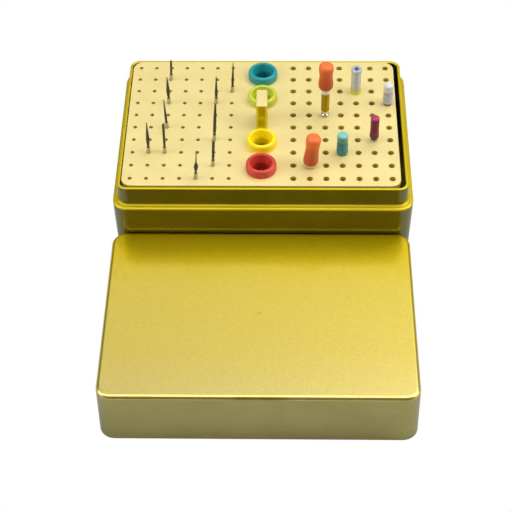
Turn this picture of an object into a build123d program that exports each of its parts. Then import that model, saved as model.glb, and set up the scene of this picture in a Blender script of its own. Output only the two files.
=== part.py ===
"""Dental bur block: a lidded metal case with a lift-out rack of burs and root canal files.

Units are millimetres and +Z is up. The origin is the centre of the case's underside. The lid is off
and lies the right way up in front of the case, towards -Y.
"""

import math
import os
from typing import NamedTuple

from build123d import *

os.makedirs("parts", exist_ok=True)

# Case: the lid's mouth and the ledge of the base share one outline
case_width = 128.4
case_depth = 90.6
case_corner_radius = 6.5
sheet = 1.2

# Base: a drafted tray whose upper wall steps in to take the lid
base_height = 49.3
base_draft = 1.35
rim_side_inset = 2.5
rim_end_inset = 2.85
rim_height = 9.1
rim_corner_radius = 4.5
rim_edge_radius = 0.4
ledge_edge_radius = 0.9
ledge_root_radius = 0.6
foot_edge_radius = 2.0

# Lid, where it lies beside the base
lid_height = 26.2
lid_draft = 0.83
lid_edge_radius = 1.7
lid_inner_edge_radius = 0.6
lid_gap = 0.4
lid_shift = -0.8
nub_diameter = 2.3
nub_height = 0.3

# Hole plate: it stands a little proud of the rim, pushed over to the left of the case
plate_side_clearance = 1.2
plate_left_clearance = 0.45
plate_end_clearance = 0.5
plate_thickness = 2.5
plate_corner_radius = 4.5
plate_edge_radius = 0.3
plate_proud = 0.5

# Hole fields: a left one for friction-grip shanks and a right one for latch shanks
hole_rows = 10
hole_columns = 7
hole_side_margin = 3.6
hole_end_margin = 4.3
field_gap = 27.4
small_hole_diameter = 1.8
large_hole_diameter = 2.75

# Stop plate: the burs of the left field stand on it
stop_depth = 7.0
stop_thickness = 1.5
stop_margin = 2.0
stop_inner_edge = 6.5
stop_corner_radius = 3.0

# Turned legs: a shoulder carries the stop plate, and a spigot reaches up to the hole plate
leg_diameter = 7.0
leg_chamfer = 0.6
spigot_diameter = 4.4
spigot_clearance = 0.1
leg_inset = 0.5
middle_leg_x = 9.6

# Lift bar and its screw
bar_width = 4.8
bar_length = 11.0
bar_height = 13.6
bar_corner_radius = 1.0
bar_edge_radius = 0.4
screw_diameter = 3.0
screw_clearance = 0.1
screw_depth = 8.0
screw_head_diameter = 5.5
screw_head_height = 1.8
screw_key_width = 2.5
screw_key_depth = 1.1

# Silicone grommets in a line through the lift bar
grommet_diameter = 13.0
grommet_height = 3.7
grommet_neck_diameter = 10.0
grommet_lip_diameter = 11.4
grommet_lip_height = 1.0
grommet_mouth_diameter = 9.6
grommet_bore_diameter = 7.5
grommet_edge_radius = 1.15
mouth_edge_radius = 0.45
grommet_seat_clearance = 0.05
grommet_bar_gap = 2.6
grommet_gap = 2.7

# Shanks
bur_shank_diameter = 1.6
latch_shank_diameter = 2.35
seat_clearance = 0.1

# Bur necks, measured up from the hole plate's face
neck_start = 3.2
neck_end = 4.6
neck_length = 0.6
neck_diameter = 0.85
shank_chamfer = 0.15

# Bur heads, as shares of a head's own length and of its widest radius
needle_shoulder = 0.2
torpedo_shoulder = 0.55
flame_belly = 0.25
flame_throat = 0.7
flame_foot_width = 0.8
flame_throat_width = 0.5
step_belly = 0.2
step_throat = 0.45
step_foot_width = 0.6
step_throat_width = 2.0

# Latch shanks below the hole plate's face
latch_depth = 13.0
latch_flat_height = 2.6
latch_flat_depth = 0.55
latch_groove_height = 0.9
latch_groove_diameter = 1.6
latch_groove_start = 3.6

# Polishers, measured up from the hole plate's face
point_foot_radius = 2.7
point_flare_height = 2.8
point_flare_radius = 3.2
point_waist_radius = 2.85
point_top_radius = 3.2
point_crown_radius = 1.7
tall_point_length = 12.7
tall_seat_diameter = 3.3
tall_seat_height = 1.6
tall_seat_edge_radius = 0.5
tall_sleeve_start = 3.2
tall_sleeve_diameter = 3.6
tall_collar_start = 13.3
tall_collar_diameter = 4.0
tall_collar_height = 2.7
short_point_length = 15.0
short_collar_diameter = 4.4
short_collar_height = 1.4
short_lean = 5.0

# Socket driver and its silicone stop
driver_height = 13.1
driver_diameter = 4.3
driver_head_diameter = 4.7
driver_head_height = 1.6
driver_grooves = 6
driver_groove_start = 1.2
driver_groove_pitch = 1.4
driver_groove_depth = 0.15
driver_socket_width = 2.0
driver_socket_depth = 2.5
stop_ring_foot = 5.4
stop_ring_top = 4.6
stop_ring_height = 1.8

# Root canal files
file_length = 21.0
file_root_diameter = 1.0
file_insert = 5.0
flute_length = 16.0
flute_root_width = 0.5
flute_tip_width = 0.25
flute_steps = 16
flute_twist = 45.0
handle_nose_diameter = 3.1
handle_foot_chamfer = 0.3
handle_crown_radius = 1.1
handle_groove_depth = 0.3
handle_groove_share = 0.45
handle_groove_slope = 0.25

# Heights that follow from the sizes above
ledge_z = base_height - rim_height
plate_top = base_height + plate_proud
plate_underside = plate_top - plate_thickness
stop_top = plate_top - stop_depth
shoulder_z = stop_top - stop_thickness

# Outlines and places that follow from the case
rim_width = case_width - 2 * rim_side_inset
rim_depth = case_depth - 2 * rim_end_inset
plate_width = rim_width - 2 * (sheet + plate_side_clearance)
plate_depth = rim_depth - 2 * (sheet + plate_end_clearance)
plate_shift = plate_left_clearance - plate_side_clearance
column_pitch = (plate_width - 2 * hole_side_margin - field_gap) / (2 * (hole_columns - 1))
row_pitch = (plate_depth - 2 * hole_end_margin) / (hole_rows - 1)
field_half_depth = row_pitch * (hole_rows - 1) / 2
field_width = column_pitch * (hole_columns - 1)
field_centre = (field_gap + field_width) / 2
inner_grommet_y = bar_length / 2 + grommet_bar_gap + grommet_diameter / 2
outer_grommet_y = inner_grommet_y + grommet_diameter + grommet_gap

# The lid's back wall stops short of the base's drafted wall at the height of the lid's top
base_front = case_depth / 2 - (ledge_z - lid_height) * math.tan(math.radians(base_draft))
lid_back = case_depth / 2 - lid_height * math.tan(math.radians(lid_draft))
lid_y = -(base_front + lid_gap + lid_back)


class Bur(NamedTuple):
    """One diamond bur: its hole, its height above the plate, its head and its lean to the right."""

    column: int
    row: int
    height: float
    shape: str
    widest: float
    tip: float
    lean: float


# Burs as they stand in the left field; the lean is in degrees
burs = {
    "bur_cylinder_short": Bur(2, 1, height=10.9, shape="cylinder", widest=1.0, tip=0.8, lean=2.4),
    "bur_flame_back": Bur(2, 3, height=15.0, shape="flame", widest=1.7, tip=0.3, lean=-0.5),
    "bur_needle_left": Bur(2, 5, height=15.7, shape="needle", widest=1.1, tip=0.35, lean=-1.9),
    "bur_flame_front": Bur(1, 7, height=17.0, shape="flame", widest=1.6, tip=0.3, lean=0.6),
    "bur_cylinder_long": Bur(2, 7, height=16.3, shape="cylinder", widest=1.1, tip=0.7, lean=0.7),
    "bur_stepped_flame": Bur(4, 9, height=15.6, shape="step", widest=1.9, tip=0.3, lean=3.0),
    "bur_needle_back": Bur(5, 3, height=15.3, shape="needle", widest=1.3, tip=0.35, lean=1.8),
    "bur_torpedo": Bur(5, 6, height=20.2, shape="torpedo", widest=1.35, tip=0.8, lean=3.1),
    "bur_cylinder_front": Bur(5, 8, height=13.9, shape="cylinder", widest=1.2, tip=0.8, lean=2.8),
    "bur_needle_right": Bur(6, 2, height=16.5, shape="needle", widest=1.15, tip=0.3, lean=2.5),
}


class FileHandle(NamedTuple):
    """One file handle: its hole, top, nose, grooved length and diameters, measured from the plate."""

    column: int
    row: int
    height: float
    nose: float
    grooved: float
    grooves: int
    top: float
    waist: float
    foot: float


# Files as they stand in the right field
files = {
    "file_white": FileHandle(6, 3, 11.2, nose=0.9, grooved=7.0, grooves=5, top=4.2, waist=4.3, foot=4.5),
    "file_magenta": FileHandle(5, 6, 13.4, nose=2.2, grooved=6.6, grooves=3, top=3.9, waist=3.6, foot=4.1),
    "file_teal": FileHandle(3, 7, 10.8, nose=0.4, grooved=6.8, grooves=5, top=4.8, waist=4.7, foot=4.9),
}

# Holes, as column and row, that the other instruments stand in
tall_polisher_hole = (2, 4)
short_polisher_hole = (1, 8)
driver_hole = (4, 2)


def hole_place(field: int, column: float, row: float) -> tuple[float, float]:
    """Centre of a hole, counted from the back left hole of its field (-1 left, 1 right)."""
    x = plate_shift + field * field_centre + (column - (hole_columns - 1) / 2) * column_pitch
    y = field_half_depth - row * row_pitch
    return x, y


def drafted_box(
    place: tuple[float, float, float],
    size: tuple[float, float],
    radius: float,
    height: float,
    draft: float,
    mode: Mode = Mode.ADD,
) -> None:
    """Add or cut a rounded box that narrows along its extrusion by the draft angle."""
    with BuildSketch(Plane(place)) as outline:
        RectangleRounded(*size, radius)
    extrude(outline.sketch, amount=height, taper=draft, mode=mode)


def turned(
    place: tuple[float, float],
    points: list[tuple[float, float]],
    lean: float = 0,
    z: float = 0,
) -> None:
    """Add a turned piece about its own axis, from (radius, height) points up its side.

    The axis passes through the place at height z and leans to the right by the given degrees.
    """
    lean_angle = math.radians(lean)
    across = (math.cos(lean_angle), 0, -math.sin(lean_angle))
    along = (math.sin(lean_angle), 0, math.cos(lean_angle))
    origin = (*place, z)
    with BuildSketch(Plane(origin, x_dir=across, z_dir=(0, -1, 0))) as section:
        with BuildLine():
            Polyline((0, points[0][1]), *points, (0, points[-1][1]), close=True)
        make_face()
    revolve(section.sketch, axis=Axis(origin, along))


def save(piece: BuildPart, name: str) -> None:
    """Label a finished piece and write it to its own file."""
    piece.part.label = name
    export_step(piece.part, f"parts/{name}.step")


# Base
rim_spread = 2 * rim_height * math.tan(math.radians(base_draft))
rim_foot = (rim_width + rim_spread, rim_depth + rim_spread)
with BuildPart() as base:
    drafted_box((0, 0, ledge_z), (case_width, case_depth), case_corner_radius, -ledge_z, base_draft)
    fillet(base.faces().sort_by(Axis.Z)[0].edges(), foot_edge_radius)
    fillet(base.faces().sort_by(Axis.Z)[-1].edges(), ledge_edge_radius)
    drafted_box((0, 0, ledge_z), rim_foot, rim_corner_radius, rim_height, base_draft)
    ledge = base.faces().filter_by(Axis.Z).sort_by(Axis.Z)[-2]
    fillet(ledge.inner_wires()[0].edges(), ledge_root_radius)
    drafted_box(
        (0, 0, ledge_z - sheet),
        (case_width - 2 * sheet, case_depth - 2 * sheet),
        case_corner_radius - sheet,
        -(ledge_z - 2 * sheet),
        base_draft,
        Mode.SUBTRACT,
    )
    drafted_box(
        (0, 0, ledge_z - 2 * sheet),
        (rim_foot[0] - 2 * sheet, rim_foot[1] - 2 * sheet),
        rim_corner_radius - sheet,
        rim_height + 3 * sheet,
        base_draft,
        Mode.SUBTRACT,
    )
    fillet(base.faces().filter_by(Axis.Z).sort_by(Axis.Z)[-1].edges(), rim_edge_radius)
save(base, "base")

# Lid, lying the right way up in front of the base
with BuildPart() as lid:
    drafted_box((lid_shift, lid_y, 0), (case_width, case_depth), case_corner_radius, lid_height, lid_draft)
    fillet(lid.faces().sort_by(Axis.Z)[-1].edges(), lid_edge_radius)
    drafted_box(
        (lid_shift, lid_y, 0),
        (case_width - 2 * sheet, case_depth - 2 * sheet),
        case_corner_radius - sheet,
        lid_height - sheet,
        lid_draft,
        Mode.SUBTRACT,
    )
    fillet(lid.faces().filter_by(Axis.Z).sort_by(Axis.Z)[-2].edges(), lid_inner_edge_radius)
    with BuildSketch(Plane((lid_shift, lid_y, lid_height))) as nub:
        Circle(nub_diameter / 2)
    extrude(nub.sketch, amount=nub_height)
    fillet(lid.faces().sort_by(Axis.Z)[-1].edges(), nub_height / 2)
save(lid, "lid")

# Hole plate
grommets = {
    "grommet_teal": (plate_shift, outer_grommet_y),
    "grommet_lime": (plate_shift, inner_grommet_y),
    "grommet_yellow": (plate_shift, -inner_grommet_y),
    "grommet_red": (plate_shift, -outer_grommet_y),
}
every_hole = [(column, row) for column in range(hole_columns) for row in range(hole_rows)]
with BuildPart() as hole_plate:
    with BuildSketch(Plane.XY.offset(plate_underside)):
        with Locations((plate_shift, 0)):
            RectangleRounded(plate_width, plate_depth, plate_corner_radius)
            Circle(screw_diameter / 2 + screw_clearance, mode=Mode.SUBTRACT)
        with Locations([hole_place(-1, column, row) for column, row in every_hole]):
            Circle(small_hole_diameter / 2, mode=Mode.SUBTRACT)
        with Locations([hole_place(1, column, row) for column, row in every_hole]):
            Circle(large_hole_diameter / 2, mode=Mode.SUBTRACT)
        with Locations(list(grommets.values())):
            Circle(grommet_neck_diameter / 2 + grommet_seat_clearance, mode=Mode.SUBTRACT)
    extrude(amount=plate_thickness)
    fillet(hole_plate.faces().sort_by(Axis.Z)[-1].outer_wire().edges(), plate_edge_radius)
save(hole_plate, "hole_plate")

# Legs: four between the outer holes of the fields and two beside the grommets
middle_leg_y = (inner_grommet_y + outer_grommet_y) / 2
legs = {
    "leg_back_left": hole_place(-1, leg_inset, leg_inset),
    "leg_front_left": hole_place(-1, leg_inset, hole_rows - 1 - leg_inset),
    "leg_back_middle": (plate_shift - middle_leg_x, middle_leg_y),
    "leg_front_middle": (plate_shift - middle_leg_x, -middle_leg_y),
    "leg_back_right": hole_place(1, hole_columns - 1 - leg_inset, leg_inset),
    "leg_front_right": hole_place(1, hole_columns - 1 - leg_inset, hole_rows - 1 - leg_inset),
}
leg_profile = [
    (leg_diameter / 2 - leg_chamfer, sheet),
    (leg_diameter / 2, sheet + leg_chamfer),
    (leg_diameter / 2, shoulder_z),
    (spigot_diameter / 2, shoulder_z),
    (spigot_diameter / 2, plate_underside),
]
for leg_name, leg_place in legs.items():
    with BuildPart() as leg:
        turned(leg_place, leg_profile)
    save(leg, leg_name)

# Stop plate under the left field
stop_left = hole_place(-1, 0, 0)[0] - stop_margin
stop_right = plate_shift - stop_inner_edge
stop_size = (stop_right - stop_left, 2 * (field_half_depth + stop_margin))
with BuildPart() as stop_plate:
    with BuildSketch(Plane.XY.offset(shoulder_z)):
        with Locations(((stop_left + stop_right) / 2, 0)):
            RectangleRounded(*stop_size, stop_corner_radius)
        with Locations([place for name, place in legs.items() if not name.endswith("right")]):
            Circle(spigot_diameter / 2 + spigot_clearance, mode=Mode.SUBTRACT)
    extrude(amount=stop_thickness)
save(stop_plate, "stop_plate")

# Lift bar, screwed on from below
with BuildPart() as lift_bar:
    with BuildSketch(Plane((plate_shift, 0, plate_top))):
        RectangleRounded(bar_width, bar_length, bar_corner_radius)
    extrude(amount=bar_height)
    fillet(lift_bar.faces().sort_by(Axis.Z)[-1].edges(), bar_edge_radius)
    with BuildSketch(Plane((plate_shift, 0, plate_top))) as screw_hole:
        Circle(screw_diameter / 2 + screw_clearance)
    extrude(screw_hole.sketch, amount=screw_depth + screw_clearance, mode=Mode.SUBTRACT)
save(lift_bar, "lift_bar")

head_z = plate_underside - screw_head_height
screw_profile = [
    (screw_head_diameter / 2, head_z),
    (screw_head_diameter / 2, plate_underside),
    (screw_diameter / 2, plate_underside),
    (screw_diameter / 2, plate_top + screw_depth),
]
with BuildPart() as bar_screw:
    turned((plate_shift, 0), screw_profile)
    with BuildSketch(Plane((plate_shift, 0, head_z))) as key:
        RegularPolygon(screw_key_width / 2, 6, major_radius=False)
    extrude(key.sketch, amount=screw_key_depth, mode=Mode.SUBTRACT)
save(bar_screw, "bar_screw")

# Silicone grommets: a flared mouth on the plate, a neck through it and a lip under it
bore_radius = grommet_bore_diameter / 2
lip_top = plate_underside - grommet_seat_clearance
grommet_top = plate_top + grommet_height
grommet_section = [
    (bore_radius, lip_top - grommet_lip_height),
    (grommet_lip_diameter / 2, lip_top - grommet_lip_height),
    (grommet_lip_diameter / 2, lip_top),
    (grommet_neck_diameter / 2, lip_top),
    (grommet_neck_diameter / 2, plate_top),
    (grommet_diameter / 2, plate_top),
    (grommet_diameter / 2, grommet_top),
    (grommet_mouth_diameter / 2, grommet_top),
    (bore_radius, plate_top),
]
for grommet_name, (grommet_x, grommet_y) in grommets.items():
    with BuildPart() as grommet:
        with BuildSketch(Plane((grommet_x, grommet_y, 0), x_dir=(1, 0, 0), z_dir=(0, -1, 0))) as section:
            with BuildLine():
                Polyline(*grommet_section, close=True)
            make_face()
        revolve(section.sketch, axis=Axis((grommet_x, grommet_y, 0), (0, 0, 1)))
        for rounded, radius in ((-1, grommet_edge_radius), (0, mouth_edge_radius)):
            top_edges = grommet.edges().filter_by(GeomType.CIRCLE).group_by(Axis.Z)[-1]
            fillet(top_edges.sort_by(Edge.radius)[rounded], radius)
    save(grommet, grommet_name)

# Diamond burs: each leans about the middle of its hole and stands on the stop plate
pivot_z = plate_top - plate_thickness / 2
pivot_height = plate_thickness / 2
shank_radius = bur_shank_diameter / 2


def bur_profile(bur: Bur) -> list[tuple[float, float]]:
    """Half section of a bur, as (radius, height over the middle of its hole) points."""
    lean_angle = math.radians(abs(bur.lean))
    foot = -(pivot_z - stop_top - seat_clearance - shank_radius * math.sin(lean_angle)) / math.cos(lean_angle)
    start = neck_end + pivot_height
    top = bur.height + pivot_height
    length = top - start
    widest, tip = bur.widest / 2, bur.tip / 2
    heads = {
        "cylinder": [(widest, start), (widest, top - widest / 2), (tip, top)],
        "needle": [(widest, start), (widest, start + length * needle_shoulder), (tip, top)],
        "torpedo": [(widest, start), (widest, start + length * torpedo_shoulder), (tip, top)],
        "flame": [
            (widest * flame_foot_width, start),
            (widest, start + length * flame_belly),
            (widest * flame_throat_width, start + length * flame_throat),
            (tip, top),
        ],
        "step": [
            (widest * step_foot_width, start),
            (widest, start + length * step_belly),
            (tip * step_throat_width, start + length * step_throat),
            (tip, top),
        ],
    }
    shank = [
        (shank_radius - shank_chamfer, foot),
        (shank_radius, foot + shank_chamfer),
        (shank_radius, neck_start + pivot_height),
        (neck_diameter / 2, start - neck_length),
        (neck_diameter / 2, start),
    ]
    return shank + heads[bur.shape]


for bur_name, bur in burs.items():
    with BuildPart() as bur_part:
        turned(hole_place(-1, bur.column, bur.row), bur_profile(bur), bur.lean, pivot_z)
    save(bur_part, bur_name)


def latch_shank(top_radius: float, top: float) -> list[tuple[float, float]]:
    """Side of a latch shank from its end up to where it meets a body of the given radius."""
    radius = latch_shank_diameter / 2
    end = plate_top - latch_depth
    groove = end + latch_groove_start
    return [
        (radius - shank_chamfer, end),
        (radius, end + shank_chamfer),
        (radius, groove),
        (latch_groove_diameter / 2, groove),
        (latch_groove_diameter / 2, groove + latch_groove_height),
        (radius, groove + latch_groove_height),
        (radius, top),
        (top_radius, top),
    ]


def cut_latch_flat(place: tuple[float, float]) -> None:
    """Cut the driving flat on the end of a latch shank, on its right side."""
    x, y = place
    end = plate_top - latch_depth
    radius = latch_shank_diameter / 2
    with BuildSketch(Plane((x + radius - latch_flat_depth / 2, y, end))) as flat:
        Rectangle(latch_flat_depth, latch_shank_diameter)
    extrude(flat.sketch, amount=latch_flat_height, mode=Mode.SUBTRACT)


def waisted_point(
    place: tuple[float, float],
    foot: float,
    length: float,
    lean: float = 0,
    z: float = 0,
) -> None:
    """Add a silicone point with a flared foot, a slight waist and a crowned top.

    The foot is a height over z along the axis, which passes through the place at z.
    """
    lean_angle = math.radians(lean)
    across = (math.cos(lean_angle), 0, -math.sin(lean_angle))
    along = (math.sin(lean_angle), 0, math.cos(lean_angle))
    origin = (*place, z)
    top = foot + length
    crown = top - point_crown_radius
    flat_radius = point_top_radius - point_crown_radius
    with BuildSketch(Plane(origin, x_dir=across, z_dir=(0, -1, 0))) as section:
        with BuildLine():
            Spline(
                (point_foot_radius, foot),
                (point_flare_radius, foot + point_flare_height),
                (point_waist_radius, (foot + point_flare_height + crown) / 2),
                (point_top_radius, crown),
                tangents=[(1, 1), (0, 1)],
            )
            RadiusArc((point_top_radius, crown), (flat_radius, top), -point_crown_radius)
            Polyline(
                (flat_radius, top),
                (0, top),
                (0, foot),
                (point_foot_radius, foot),
            )
        make_face()
    revolve(section.sketch, axis=Axis(origin, along))


# Polishers: a waisted silicone point on a collar, on a latch mandrel
tall_place = hole_place(1, *tall_polisher_hole)
with BuildPart() as tall_mandrel:
    seat_radius = tall_seat_diameter / 2
    seat_z = plate_top + seat_clearance
    seat_top = seat_z + tall_seat_height
    sleeve_z = plate_top + tall_sleeve_start
    collar_z = plate_top + tall_collar_start
    side = latch_shank(seat_radius - tall_seat_edge_radius, seat_z)
    side += [
        (seat_radius, seat_z + tall_seat_edge_radius),
        (seat_radius, seat_top - tall_seat_edge_radius),
        (seat_radius - tall_seat_edge_radius, seat_top),
        (latch_shank_diameter / 2, seat_top),
        (latch_shank_diameter / 2, sleeve_z),
        (tall_sleeve_diameter / 2 - shank_chamfer, sleeve_z),
        (tall_sleeve_diameter / 2, sleeve_z + shank_chamfer),
        (tall_sleeve_diameter / 2, collar_z),
    ]
    turned(tall_place, side)
    cut_latch_flat(tall_place)
save(tall_mandrel, "polisher_tall_mandrel")

with BuildPart() as tall_collar:
    collar_side = [
        (tall_collar_diameter / 2, collar_z),
        (tall_collar_diameter / 2, collar_z + tall_collar_height),
    ]
    turned(tall_place, collar_side)
save(tall_collar, "polisher_tall_collar")

with BuildPart() as tall_point:
    waisted_point(tall_place, collar_z + tall_collar_height, tall_point_length)
save(tall_point, "polisher_tall_point")

# The short polisher leans in its hole, with one edge of its collar on the plate
short_place = hole_place(1, *short_polisher_hole)
short_radius = short_collar_diameter / 2
short_lean_angle = math.radians(short_lean)
short_foot = (plate_top - pivot_z + seat_clearance) / math.cos(short_lean_angle)
short_foot += short_radius * math.tan(short_lean_angle)
with BuildPart() as short_mandrel:
    upright_side = latch_shank(short_radius - shank_chamfer, plate_top)
    side = [(radius, height - plate_top + short_foot) for radius, height in upright_side]
    side += [
        (short_radius, short_foot + shank_chamfer),
        (short_radius, short_foot + short_collar_height),
    ]
    turned(short_place, side, short_lean, pivot_z)
save(short_mandrel, "polisher_short_mandrel")

with BuildPart() as short_point:
    waisted_point(short_place, short_foot + short_collar_height, short_point_length, short_lean, pivot_z)
save(short_point, "polisher_short_point")

# Socket driver: a knurled body with a square socket, resting on its silicone stop
driver_place = hole_place(1, *driver_hole)
stop_ring_profile = [
    (latch_shank_diameter / 2 + seat_clearance, plate_top),
    (stop_ring_foot / 2, plate_top),
    (stop_ring_top / 2, plate_top + stop_ring_height),
    (latch_shank_diameter / 2 + seat_clearance, plate_top + stop_ring_height),
]
with BuildPart() as driver:
    driver_radius = driver_diameter / 2
    groove_radius = driver_radius - driver_groove_depth
    body_z = plate_top + stop_ring_height
    side = latch_shank(driver_radius - shank_chamfer, body_z)
    side += [(driver_radius, body_z + shank_chamfer)]
    for groove in range(driver_grooves):
        groove_z = body_z + driver_groove_start + groove * driver_groove_pitch
        side += [
            (driver_radius, groove_z),
            (groove_radius, groove_z + driver_groove_depth),
            (groove_radius, groove_z + driver_groove_pitch / 2 - driver_groove_depth),
            (driver_radius, groove_z + driver_groove_pitch / 2),
        ]
    driver_top = plate_top + driver_height
    head_radius = driver_head_diameter / 2
    side += [
        (driver_radius, driver_top - driver_head_height),
        (head_radius, driver_top - driver_head_height + shank_chamfer),
        (head_radius, driver_top - shank_chamfer),
        (head_radius - shank_chamfer, driver_top),
    ]
    turned(driver_place, side)
    cut_latch_flat(driver_place)
    with BuildSketch(Plane((*driver_place, driver_top)).rotated((0, 0, 45))) as socket:
        Rectangle(driver_socket_width, driver_socket_width)
    extrude(socket.sketch, amount=-driver_socket_depth, mode=Mode.SUBTRACT)
save(driver, "socket_driver")

with BuildPart() as stop_ring:
    with BuildSketch(Plane((*driver_place, 0), x_dir=(1, 0, 0), z_dir=(0, -1, 0))) as ring_section:
        with BuildLine():
            Polyline(*stop_ring_profile, close=True)
        make_face()
    revolve(ring_section.sketch, axis=Axis((*driver_place, 0), (0, 0, 1)))
save(stop_ring, "driver_stop_ring")


# Root canal files: a grooved plastic handle on the plate and a twisted square blade below it
def handle_profile(handle: FileHandle) -> list[tuple[float, float]]:
    """Side of a handle, from its nose on the plate up to its flat top."""
    foot, waist, top = handle.foot / 2, handle.waist / 2, handle.top / 2
    nose_radius = handle_nose_diameter / 2
    groove_start = plate_top + handle.nose + handle_foot_chamfer
    pitch = (plate_top + handle.grooved - groove_start) / handle.grooves
    side = [
        (nose_radius, plate_top),
        (nose_radius, plate_top + handle.nose),
        (foot - handle_foot_chamfer, plate_top + handle.nose),
        (foot, groove_start),
    ]
    for groove in range(handle.grooves):
        radius = foot + (waist - foot) * groove / handle.grooves
        low = groove_start + (groove + 1 - handle_groove_share) * pitch
        side += [
            (radius, low),
            (radius - handle_groove_depth, low + handle_groove_slope * handle_groove_share * pitch),
            (radius - handle_groove_depth, low + (1 - handle_groove_slope) * handle_groove_share * pitch),
        ]
    side += [(waist, plate_top + handle.grooved), (top, plate_top + handle.height)]
    return side


flute_top = plate_top - file_length + flute_length
shaft_end_diameter = flute_root_width * math.sqrt(2)
for file_name, handle in files.items():
    file_place = hole_place(1, handle.column, handle.row)
    with BuildPart() as grip:
        turned(file_place, handle_profile(handle))
        fillet(grip.faces().sort_by(Axis.Z)[-1].edges(), handle_crown_radius)
        with BuildSketch(Plane((*file_place, plate_top))) as socket:
            Circle(file_root_diameter / 2)
        extrude(socket.sketch, amount=file_insert, mode=Mode.SUBTRACT)
    save(grip, file_name + "_handle")
    with BuildPart() as blade:
        blade_side = [
            (shaft_end_diameter / 2, flute_top),
            (file_root_diameter / 2, plate_top),
            (file_root_diameter / 2, plate_top + file_insert),
        ]
        turned(file_place, blade_side)
        for step in range(flute_steps + 1):
            share = step / flute_steps
            width = flute_root_width + (flute_tip_width - flute_root_width) * share
            section_plane = Plane((*file_place, flute_top - flute_length * share))
            with BuildSketch(section_plane.rotated((0, 0, step * flute_twist))):
                Rectangle(width, width)
        loft(ruled=True)
    save(blade, file_name + "_blade")
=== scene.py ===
"""Looks of the dental bur block: a gold case with its lid off and a drilled rack of burs and files."""

import logging
import math
from dataclasses import dataclass, field
from enum import Enum

import bpy
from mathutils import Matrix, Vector


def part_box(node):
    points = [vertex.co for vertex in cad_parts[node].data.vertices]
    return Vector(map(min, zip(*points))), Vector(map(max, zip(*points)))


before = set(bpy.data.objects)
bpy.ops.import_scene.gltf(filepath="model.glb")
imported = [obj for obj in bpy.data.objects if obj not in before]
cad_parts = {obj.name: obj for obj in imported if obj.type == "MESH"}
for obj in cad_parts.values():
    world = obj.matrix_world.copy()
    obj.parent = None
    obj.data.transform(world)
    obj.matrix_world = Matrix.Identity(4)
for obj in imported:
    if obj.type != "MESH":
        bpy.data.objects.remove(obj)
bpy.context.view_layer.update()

log = logging.getLogger("bur_block")
Colour = tuple[float, float, float]
Stretch = tuple[float, float, float]
Stop = tuple[float, Colour]

MM = 0.001
UPRIGHT_LIMIT = 0.15
COAT_ROUGHNESS = 0.1
SUBSURFACE_DEPTH = 1.5 * MM
# How uneven the painted reflection along Y is.
REFLECTION_UNEVENNESS = 0.06


class Coat(Enum):
    """The weight of a finish's clear top layer."""

    NONE = 0.0
    THIN = 0.15
    HALF = 0.5
    FULL = 1.0


def srgb(red: int, green: int, blue: int) -> Colour:
    """Turn an 8-bit screen colour into the linear colour that a shader takes.

    Args:
        red: Red, 0 to 255.
        green: Green, 0 to 255.
        blue: Blue, 0 to 255.

    Returns:
        The linear red, green and blue.
    """
    low_limit = 0.04045
    values = []
    for part in (red, green, blue):
        share = part / 255
        values.append(share / 12.92 if share <= low_limit else ((share + 0.055) / 1.055) ** 2.4)
    return values[0], values[1], values[2]


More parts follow.
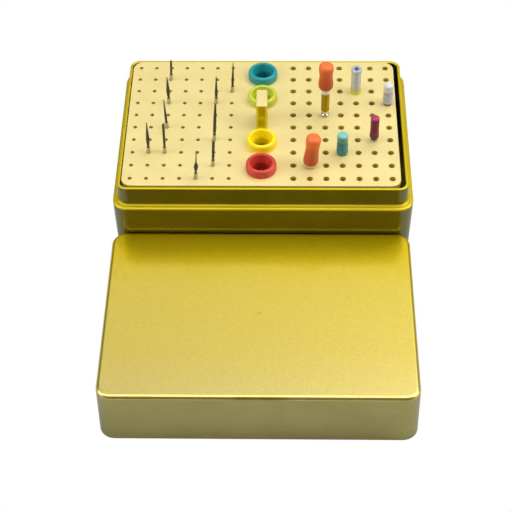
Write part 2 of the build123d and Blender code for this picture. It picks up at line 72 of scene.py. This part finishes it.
class NodeMaker:
    """Adds and links shader nodes in one material's tree."""

    def __init__(self, name: str) -> None:
        """Start a material that holds only its output and a Principled shader.

        Args:
            name: The material's name.
        """
        self.material = bpy.data.materials.new(name)
        self.material.use_nodes = True
        self.tree = self.material.node_tree
        self.shader = self.tree.nodes["Principled BSDF"]

    def add(self, kind: str, **values: object) -> bpy.types.Node:
        """Add a node.

        Args:
            kind: The node's type, such as ShaderNodeBump.
            **values: Attributes of the node itself.

        Returns:
            The new node.
        """
        node = self.tree.nodes.new(kind)
        for key, value in values.items():
            setattr(node, key, value)
        return node

    def link(self, source: bpy.types.NodeSocket, target: bpy.types.NodeSocket) -> None:
        """Link two sockets."""
        self.tree.links.new(source, target)

    def position(self) -> bpy.types.NodeSocket:
        """The object's own coordinates, in metres."""
        return self.add("ShaderNodeTexCoord").outputs["Object"]

    def noise(self, size: float, detail: float = 3.0, stretch: Stretch = (1, 1, 1)) -> bpy.types.NodeSocket:
        """Noise with features of a real size.

        Args:
            size: The size of a feature, in metres.
            detail: The noise's detail.
            stretch: How much longer a feature is along X, Y and Z.

        Returns:
            The noise's factor output.
        """
        mapping = self.add("ShaderNodeMapping")
        mapping.inputs["Scale"].default_value = [1 / (size * part) for part in stretch]
        self.link(self.position(), mapping.inputs["Vector"])
        noise = self.add("ShaderNodeTexNoise")
        noise.inputs["Scale"].default_value = 1.0
        noise.inputs["Detail"].default_value = detail
        self.link(mapping.outputs["Vector"], noise.inputs["Vector"])
        return noise.outputs["Fac"]

    def ramp(self, factor: bpy.types.NodeSocket, stops: list[Stop]) -> bpy.types.NodeSocket:
        """Colours along a factor.

        Args:
            factor: The value from 0 to 1 that picks the colour.
            stops: Places from 0 to 1 with their linear colours.

        Returns:
            The ramp's colour output.
        """
        node = self.add("ShaderNodeValToRGB")
        elements = node.color_ramp.elements
        while len(elements) < len(stops):
            elements.new(0.5)
        for element, (place, colour) in zip(elements, stops):
            element.position = place
            element.color = (*colour, 1.0)
        self.link(factor, node.inputs["Fac"])
        return node.outputs["Color"]

    def remap(
        self, factor: bpy.types.NodeSocket, low: float, high: float, bottom: float, top: float
    ) -> bpy.types.NodeSocket:
        """Map a factor from low and high to bottom and top, clamped."""
        node = self.add("ShaderNodeMapRange")
        for key, value in zip(("From Min", "From Max", "To Min", "To Max"), (low, high, bottom, top)):
            node.inputs[key].default_value = value
        self.link(factor, node.inputs["Value"])
        return node.outputs["Result"]

    def scaled(self, colour: bpy.types.NodeSocket, share: bpy.types.NodeSocket) -> bpy.types.NodeSocket:
        """Multiply a colour by a share of it."""
        node = self.add("ShaderNodeVectorMath", operation="SCALE")
        self.link(colour, node.inputs[0])
        self.link(share, node.inputs["Scale"])
        return node.outputs["Vector"]

    def axis(self, letter: str) -> bpy.types.NodeSocket:
        """The object's own coordinate along X, Y or Z, in metres."""
        place = self.add("ShaderNodeSeparateXYZ")
        self.link(self.position(), place.inputs["Vector"])
        return place.outputs[letter]

    def soften(self, coat: Coat, subsurface: float) -> None:
        """Set the clear top layer and the share of light that goes below the surface."""
        inputs = self.shader.inputs
        inputs["Coat Weight"].default_value = coat.value
        inputs["Coat Roughness"].default_value = COAT_ROUGHNESS
        if subsurface:
            inputs["Subsurface Weight"].default_value = subsurface
            inputs["Subsurface Scale"].default_value = SUBSURFACE_DEPTH

    def bump(self, height: bpy.types.NodeSocket, depth: float) -> None:
        """Dent the surface by a height field whose full range is depth metres."""
        node = self.add("ShaderNodeBump")
        node.inputs["Strength"].default_value = 1.0
        node.inputs["Distance"].default_value = depth
        self.link(height, node.inputs["Height"])
        self.link(node.outputs["Normal"], self.shader.inputs["Normal"])


@dataclass(frozen=True)
class Finish:
    """A surface with a colour that varies a little, its roughness and a fine relief.

    With ends along Y, the colour is a painted reflection that goes along Y instead, from the second colour
    at the first end, through the stops in between, to the first colour at the last end.
    """

    name: str
    colour: Colour
    second: Colour
    roughness: float
    metallic: float = 0.0
    cloud: float = 8 * MM
    grain: float = 0.2 * MM
    relief: float = 0.002 * MM
    stretch: Stretch = (1, 1, 1)
    roughness_spread: float = 0.05
    coat: Coat = Coat.NONE
    subsurface: float = 0.0
    speckle: float = 0.0
    reflection_ends: tuple[float, float] | None = None
    reflection_stops: tuple[Stop, ...] = ()

    def make(self) -> bpy.types.Material:
        """Build the material.

        Returns:
            The material, ready to assign.
        """
        nodes = NodeMaker(self.name)
        shader = nodes.shader.inputs
        cloud = nodes.noise(self.cloud)
        grain = nodes.noise(self.grain, 2.0, self.stretch)
        if self.reflection_ends is None:
            colour = nodes.ramp(cloud, [(0.35, self.colour), (0.65, self.second)])
        else:
            colour = self.painted_reflection(nodes, cloud)
        if self.speckle:
            colour = nodes.scaled(colour, nodes.remap(grain, 0.2, 0.8, 1 - self.speckle, 1))
        nodes.link(colour, shader["Base Color"])
        low, high = self.roughness - self.roughness_spread, self.roughness + self.roughness_spread
        nodes.link(nodes.remap(grain, 0.3, 0.7, low, high), shader["Roughness"])
        shader["Metallic"].default_value = self.metallic
        nodes.soften(self.coat, self.subsurface)
        nodes.bump(grain, self.relief)
        return nodes.material

    def painted_reflection(self, nodes: NodeMaker, cloud: bpy.types.NodeSocket) -> bpy.types.NodeSocket:
        """The painted reflection along Y, made a little uneven by the cloud.

        Args:
            nodes: The material's nodes.
            cloud: The even cloud.

        Returns:
            The faded colour.
        """
        start, end = self.reflection_ends
        low = -REFLECTION_UNEVENNESS / 2
        along = nodes.remap(nodes.axis("Y"), start, end, low, low + 1)
        total = nodes.add("ShaderNodeMath", operation="MULTIPLY_ADD")
        nodes.link(cloud, total.inputs[0])
        total.inputs[1].default_value = REFLECTION_UNEVENNESS
        nodes.link(along, total.inputs[2])
        places = [(start, self.second), *self.reflection_stops, (end, self.colour)]
        stops = [((spot - start) / (end - start), tone) for spot, tone in places]
        return nodes.ramp(total.outputs["Value"], stops)


class Blend(Enum):
    """How one layer of a finish gives way to the next."""

    SHARP = "CONSTANT"
    SOFT = "LINEAR"


@dataclass(frozen=True)
class Layer:
    """One layer of a turned piece's finish, from its start height up to the next layer."""

    start: float
    colour: Colour
    roughness: float
    metallic: float = 0.0


@dataclass(frozen=True)
class LayeredFinish:
    """A finish that changes with height. The rougher a layer, the deeper its relief."""

    name: str
    layers: tuple[Layer, ...]
    span: float
    blend: Blend = Blend.SHARP
    grit: float = 0.1 * MM
    relief: float = 0.01 * MM
    speckle: float = 0.1
    coat: Coat = Coat.NONE
    subsurface: float = 0.0

    def make(self, bottom: float) -> bpy.types.Material:
        """Build the material.

        Args:
            bottom: The height that the layers are counted from, in metres.

        Returns:
            The material, ready to assign.
        """
        nodes = NodeMaker(self.name)
        shader = nodes.shader.inputs
        height = nodes.remap(nodes.axis("Z"), bottom, bottom + self.span, 0, 1)
        colour = self.ramp(nodes, height, [layer.colour for layer in self.layers])
        gloss = self.ramp(nodes, height, [(layer.roughness, layer.metallic, 0.0) for layer in self.layers])
        parts = nodes.add("ShaderNodeSeparateColor")
        nodes.link(gloss, parts.inputs["Color"])
        nodes.link(parts.outputs["Red"], shader["Roughness"])
        nodes.link(parts.outputs["Green"], shader["Metallic"])
        nodes.soften(self.coat, self.subsurface)
        grit = nodes.noise(self.grit, 2.0)
        shade = nodes.remap(grit, 0.35, 0.65, 1 - self.speckle, 1)
        nodes.link(nodes.scaled(colour, shade), shader["Base Color"])
        dent = nodes.add("ShaderNodeMath", operation="MULTIPLY")
        nodes.link(grit, dent.inputs[0])
        nodes.link(parts.outputs["Red"], dent.inputs[1])
        nodes.bump(dent.outputs["Value"], self.relief)
        return nodes.material

    def ramp(
        self, nodes: NodeMaker, height: bpy.types.NodeSocket, colours: list[Colour]
    ) -> bpy.types.NodeSocket:
        """A ramp with one colour for each layer.

        Args:
            nodes: The material's nodes.
            height: The height as a share of the span.
            colours: One linear colour for each layer, from the bottom up.

        Returns:
            The ramp's colour output.
        """
        stops = [(layer.start / self.span, colour) for layer, colour in zip(self.layers, colours)]
        output = nodes.ramp(height, stops)
        output.node.color_ramp.interpolation = self.blend.value
        return output


def dress(name: str, material: bpy.types.Material, upright: bpy.types.Material | None = None) -> None:
    """Give a CAD node its finish.

    Args:
        name: The CAD node.
        material: The finish.
        upright: A second finish for the faces that don't look up or down, or None for one finish; in this
            script the split paints shade on upright faces or a highlight on tops.
    """
    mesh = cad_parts[name].data
    mesh.materials.clear()
    mesh.materials.append(material)
    if upright is not None:
        mesh.materials.append(upright)
        for face in mesh.polygons:
            face.material_index = int(abs(face.normal.z) < UPRIGHT_LIMIT)
    log.info("dressed %s", name)


def dress_all(prefix: str, material: bpy.types.Material) -> None:
    """Give every CAD node whose name starts with a prefix the same finish."""
    for name in sorted(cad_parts):
        if name.startswith(prefix):
            dress(name, material)


def plate_top() -> float:
    """Height of the hole plate's face, in metres."""
    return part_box("hole_plate")[1].z


@dataclass
class Studio:
    """The camera, the floor and the soft lights."""

    focal_length: float = 102.57
    camera_place: Vector = field(default_factory=lambda: Vector((9.43, -483.24, 477.07)) * MM)
    camera_turn: tuple[float, float, float] = (43.248, 0.657, 0.945)
    lamp_aim: Vector = field(default_factory=lambda: Vector((0, -40, 30)) * MM)
    floor_size: float = 6.0
    room_light: float = 0.07
    floor_grey: float = 0.55

    def build(self) -> None:
        """Set up everything that isn't the object."""
        self.camera()
        self.floor()
        self.world()
        self.lamp("overhead", Vector((0.12, 0.02, 1.15)), (0.9, 2.0), 14.2)
        self.lamp("back", Vector((0.05, 0.83, 1.18)), (1.8, 0.46), 2.1)
        self.lamp("left", Vector((-0.9, -0.25, 0.5)), (0.6, 0.6), 4.2)
        self.lamp("right", Vector((0.9, -0.15, 0.6)), (0.6, 0.8), 5.0)

    def camera(self) -> None:
        """Place the camera where the photograph was taken from."""
        data = bpy.data.cameras.new("camera")
        data.lens = self.focal_length
        data.sensor_width = 36.0
        data.clip_end = 20.0
        camera = bpy.data.objects.new("camera", data)
        camera.location = self.camera_place
        camera.rotation_euler = [math.radians(angle) for angle in self.camera_turn]
        bpy.context.scene.collection.objects.link(camera)
        bpy.context.scene.camera = camera

    def floor(self) -> None:
        """A plain pale floor under the case, white to the camera."""
        half = self.floor_size / 2
        mesh = bpy.data.meshes.new("floor")
        corners = [(-half, -half, 0), (half, -half, 0), (half, half, 0), (-half, half, 0)]
        mesh.from_pydata(corners, [], [(0, 1, 2, 3)])
        floor = bpy.data.objects.new("floor", mesh)
        bpy.context.scene.collection.objects.link(floor)
        nodes = NodeMaker("floor_white")
        grey = self.floor_grey
        nodes.shader.inputs["Base Color"].default_value = (grey, grey, grey, 1)
        nodes.shader.inputs["Roughness"].default_value = 0.9
        nodes.shader.inputs["Specular IOR Level"].default_value = 0.0
        emission = nodes.add("ShaderNodeEmission")
        mix = nodes.add("ShaderNodeMixShader")
        path = nodes.add("ShaderNodeLightPath")
        nodes.link(path.outputs["Is Camera Ray"], mix.inputs["Fac"])
        nodes.link(nodes.shader.outputs["BSDF"], mix.inputs[1])
        nodes.link(emission.outputs["Emission"], mix.inputs[2])
        nodes.link(mix.outputs["Shader"], nodes.tree.nodes["Material Output"].inputs["Surface"])
        mesh.materials.append(nodes.material)

    def world(self) -> None:
        """A surrounding that is white to the camera and dim to everything else."""
        world = bpy.data.worlds.new("studio")
        world.use_nodes = True
        bpy.context.scene.world = world
        tree = world.node_tree
        background = tree.nodes["Background"]
        path = tree.nodes.new("ShaderNodeLightPath")
        strength = tree.nodes.new("ShaderNodeMapRange")
        strength.inputs["To Min"].default_value = self.room_light
        strength.inputs["To Max"].default_value = 1.0
        tree.links.new(path.outputs["Is Camera Ray"], strength.inputs["Value"])
        tree.links.new(strength.outputs["Result"], background.inputs["Strength"])
        background.inputs["Color"].default_value = (1, 1, 1, 1)

    def lamp(self, name: str, place: Vector, size: tuple[float, float], power: float) -> None:
        """Hang a soft lamp that points at the case.

        Args:
            name: The lamp's name.
            place: Where it hangs, in metres.
            size: Its width and height, in metres.
            power: Its power, in watts.
        """
        data = bpy.data.lights.new(name, "AREA")
        data.shape = "RECTANGLE"
        data.size, data.size_y = size
        data.energy = power
        lamp = bpy.data.objects.new(name, data)
        lamp.location = place
        lamp.rotation_euler = (self.lamp_aim - place).to_track_quat("-Z", "Y").to_euler()
        bpy.context.scene.collection.objects.link(lamp)


@dataclass
class Case:
    """The base and its lid, in gold-anodised aluminium."""

    base_finish: Finish = Finish(
        "case_gold",
        srgb(222, 198, 26),
        srgb(228, 203, 32),
        0.52,
        metallic=0.75,
        cloud=20 * MM,
        coat=Coat.THIN,
    )
    # Painted shade: the base's upright walls take a much darker copy of its gold than its tops.
    shaded_wall_finish: Finish = Finish(
        "case_wall_painted_shade",
        srgb(116, 112, 32),
        srgb(124, 119, 36),
        0.44,
        metallic=1.0,
        cloud=20 * MM,
        grain=0.5 * MM,
        stretch=(14, 14, 1),
        coat=Coat.FULL,
        speckle=0.14,
    )
    # Painted reflection: the lid top's colour runs along Y from a dark front edge, through pale gold near
    # the front, to deep gold at the back.
    lid_finish: Finish = Finish(
        "lid_gold",
        srgb(255, 222, 10),
        srgb(150, 120, 4),
        0.32,
        metallic=0.88,
        cloud=25 * MM,
        grain=0.5 * MM,
        relief=0.001 * MM,
        stretch=(2, 1, 1),
        roughness_spread=0.02,
        coat=Coat.HALF,
        speckle=0.16,
        reflection_ends=(-137 * MM, -52 * MM),
        reflection_stops=(
            (-134.5 * MM, srgb(232, 212, 120)),
            (-112 * MM, srgb(238, 214, 98)),
            (-76 * MM, srgb(250, 224, 84)),
            (-60 * MM, srgb(254, 222, 30)),
        ),
    )
    # Painted shade and painted floor reflection: the lid's upright walls take a darker, greyer copy of its
    # gold.
    lid_shaded_wall_finish: Finish = Finish(
        "lid_wall_painted_shade",
        srgb(176, 166, 96),
        srgb(184, 173, 104),
        0.34,
        metallic=1.0,
        cloud=20 * MM,
        grain=0.5 * MM,
        stretch=(14, 14, 1),
        coat=Coat.HALF,
        speckle=0.14,
    )

    def build(self) -> None:
        """Dress the base and the lid."""
        # Base and lid each take a second finish on their upright faces, a darker copy of their gold, as
        # painted shade.
        dress("base", self.base_finish.make(), self.shaded_wall_finish.make())
        dress("lid", self.lid_finish.make(), self.lid_shaded_wall_finish.make())


@dataclass
class Rack:
    """The drilled plate, the plate below it, the legs, the lift bar and its screw."""

    plate_finish: Finish = Finish(
        "rack_gold", srgb(240, 220, 146), srgb(244, 225, 155), 0.5, metallic=0.3, cloud=14 * MM
    )
    # Painted shade: a deeper, darker copy of the plate colour for the hole walls, the plate edges and the
    # plate below.
    hole_shade_finish: Finish = Finish(
        "rack_holes_painted_shade", srgb(226, 210, 92), srgb(232, 216, 100), 0.5, metallic=0.3, cloud=4 * MM
    )
    bar_side_finish: Finish = Finish(
        "bar_gold", srgb(196, 186, 30), srgb(202, 192, 40), 0.35, metallic=1.0, cloud=6 * MM
    )
    leg_finish: Finish = Finish(
        "leg_gold", srgb(214, 200, 140), srgb(220, 206, 150), 0.3, metallic=1.0, stretch=(8, 8, 0.4)
    )
    screw_finish: Finish = Finish(
        "screw_steel", srgb(190, 190, 192), srgb(200, 200, 202), 0.3, metallic=1.0
    )

    def build(self) -> None:
        """Dress every piece of the rack."""
        plate = self.plate_finish.make()
        hole_shade = self.hole_shade_finish.make()
        # The hole walls, the plate edges and the whole stop plate take the darker gold as painted shade.
        dress("hole_plate", plate, hole_shade)
        dress("stop_plate", hole_shade)
        # Painted highlight: the lift bar's top takes the pale plate colour, its sides the gold.
        dress("lift_bar", plate, self.bar_side_finish.make())
        dress("bar_screw", self.screw_finish.make())
        dress_all("leg_", self.leg_finish.make())


class Silicone(Enum):
    """The colours of the silicone pieces, as a light and a deeper tone."""

    TEAL = (srgb(22, 146, 150), srgb(30, 154, 156))
    LIME = (srgb(196, 206, 52), srgb(206, 214, 66))
    YELLOW = (srgb(255, 226, 0), srgb(255, 230, 10))
    RED = (srgb(206, 60, 46), srgb(214, 70, 54))
    STOP = (srgb(206, 205, 80), srgb(214, 214, 96))

    def make(self) -> bpy.types.Material:
        """Build this silicone's material."""
        light, deep = self.value
        name = "silicone_" + self.name.lower()
        return Finish(name, light, deep, 0.45, cloud=3 * MM, relief=0.004 * MM, subsurface=0.15).make()


@dataclass
class Grommets:
    """The four coloured silicone grommets."""

    colours: dict[str, Silicone] = field(
        default_factory=lambda: {
            "grommet_teal": Silicone.TEAL,
            "grommet_lime": Silicone.LIME,
            "grommet_yellow": Silicone.YELLOW,
            "grommet_red": Silicone.RED,
        }
    )

    def build(self) -> None:
        """Dress each grommet in its own colour."""
        for name, colour in self.colours.items():
            dress(name, colour.make())


@dataclass
class Burs:
    """The diamond burs of the left field: a bright shank, a coloured band and a gritty head."""

    finish: LayeredFinish = LayeredFinish(
        "bur",
        (
            Layer(0.0, srgb(196, 192, 168), 0.25, 1.0),
            Layer(3.9 * MM, srgb(84, 66, 10), 0.4, 0.8),
            Layer(5.0 * MM, srgb(74, 88, 84), 0.6, 0.3),
        ),
        span=25 * MM,
        grit=0.09 * MM,
        relief=0.05 * MM,
        speckle=0.5,
    )

    def build(self) -> None:
        """Dress every bur by its height over the plate."""
        dress_all("bur_", self.finish.make(plate_top()))


@dataclass
class Polishers:
    """The two silicone polishers on their latch mandrels."""

    mandrel: LayeredFinish = LayeredFinish(
        "mandrel",
        (Layer(0.0, srgb(205, 203, 196), 0.25, 1.0), Layer(3.1 * MM, srgb(158, 138, 22), 0.3, 1.0)),
        span=20 * MM,
        speckle=0.03,
    )
    collar: Finish = Finish("collar_white", srgb(238, 236, 214), srgb(244, 242, 224), 0.35, coat=Coat.THIN)
    foot: Finish = Finish("mandrel_foot", srgb(222, 222, 212), srgb(230, 230, 220), 0.4, metallic=0.4)
    point: LayeredFinish = LayeredFinish(
        "silicone_orange",
        (
            Layer(0.0, srgb(190, 74, 44), 0.45),
            Layer(9.0 * MM, srgb(224, 98, 48), 0.45),
            Layer(11.5 * MM, srgb(250, 118, 50), 0.45),
        ),
        span=15 * MM,
        blend=Blend.SOFT,
        grit=0.5 * MM,
        speckle=0.06,
        subsurface=0.12,
    )

    def build(self) -> None:
        """Dress both polishers."""
        dress("polisher_tall_mandrel", self.mandrel.make(plate_top()))
        dress("polisher_tall_collar", self.collar.make())
        dress("polisher_short_mandrel", self.foot.make())
        for name in ("polisher_tall_point", "polisher_short_point"):
            dress(name, self.point.make(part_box(name)[0].z))


@dataclass
class Driver:
    """The grooved socket driver on its silicone stop."""

    steel: Finish = Finish("driver_steel", srgb(184, 192, 202), srgb(196, 203, 212), 0.5, metallic=0.6)

    def build(self) -> None:
        """Dress the driver and its stop."""
        dress("socket_driver", self.steel.make())
        dress("driver_stop_ring", Silicone.STOP.make())


@dataclass
class Files:
    """The three root canal files: a dark nose, a grooved grip, a paler crown and a twisted blade."""

    blade: Finish = Finish("file_steel", srgb(176, 178, 182), srgb(188, 190, 194), 0.25, metallic=1.0)
    white: LayeredFinish = LayeredFinish(
        "handle_white",
        (
            Layer(0.0, srgb(70, 70, 66), 0.4),
            Layer(0.7 * MM, srgb(196, 198, 198), 0.35),
            Layer(7.4 * MM, srgb(226, 228, 226), 0.35),
        ),
        span=15 * MM,
        coat=Coat.THIN,
    )
    magenta: LayeredFinish = LayeredFinish(
        "handle_magenta",
        (
            Layer(0.0, srgb(206, 204, 168), 0.4),
            Layer(1.1 * MM, srgb(44, 66, 44), 0.4),
            Layer(2.3 * MM, srgb(124, 14, 62), 0.45),
            Layer(6.8 * MM, srgb(118, 8, 58), 0.5),
            Layer(12.4 * MM, srgb(188, 50, 104), 0.3),
        ),
        span=15 * MM,
    )
    teal: LayeredFinish = LayeredFinish(
        "handle_teal",
        (
            Layer(0.0, srgb(34, 92, 92), 0.4),
            Layer(0.5 * MM, srgb(62, 140, 136), 0.35),
            Layer(7.0 * MM, srgb(84, 160, 142), 0.35),
            Layer(9.9 * MM, srgb(132, 204, 186), 0.35),
        ),
        span=15 * MM,
        coat=Coat.THIN,
    )

    def build(self) -> None:
        """Dress every handle and blade."""
        steel = self.blade.make()
        for name, finish in (("white", self.white), ("magenta", self.magenta), ("teal", self.teal)):
            dress(f"file_{name}_handle", finish.make(plate_top()))
            dress(f"file_{name}_blade", steel)


def main() -> None:
    """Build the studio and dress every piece."""
    logging.basicConfig(level=logging.INFO)
    scene = bpy.context.scene
    scene.view_settings.view_transform = "Standard"
    Studio().build()
    Case().build()
    Rack().build()
    Grommets().build()
    Burs().build()
    Polishers().build()
    Driver().build()
    Files().build()


if __name__ == "__main__":
    main()
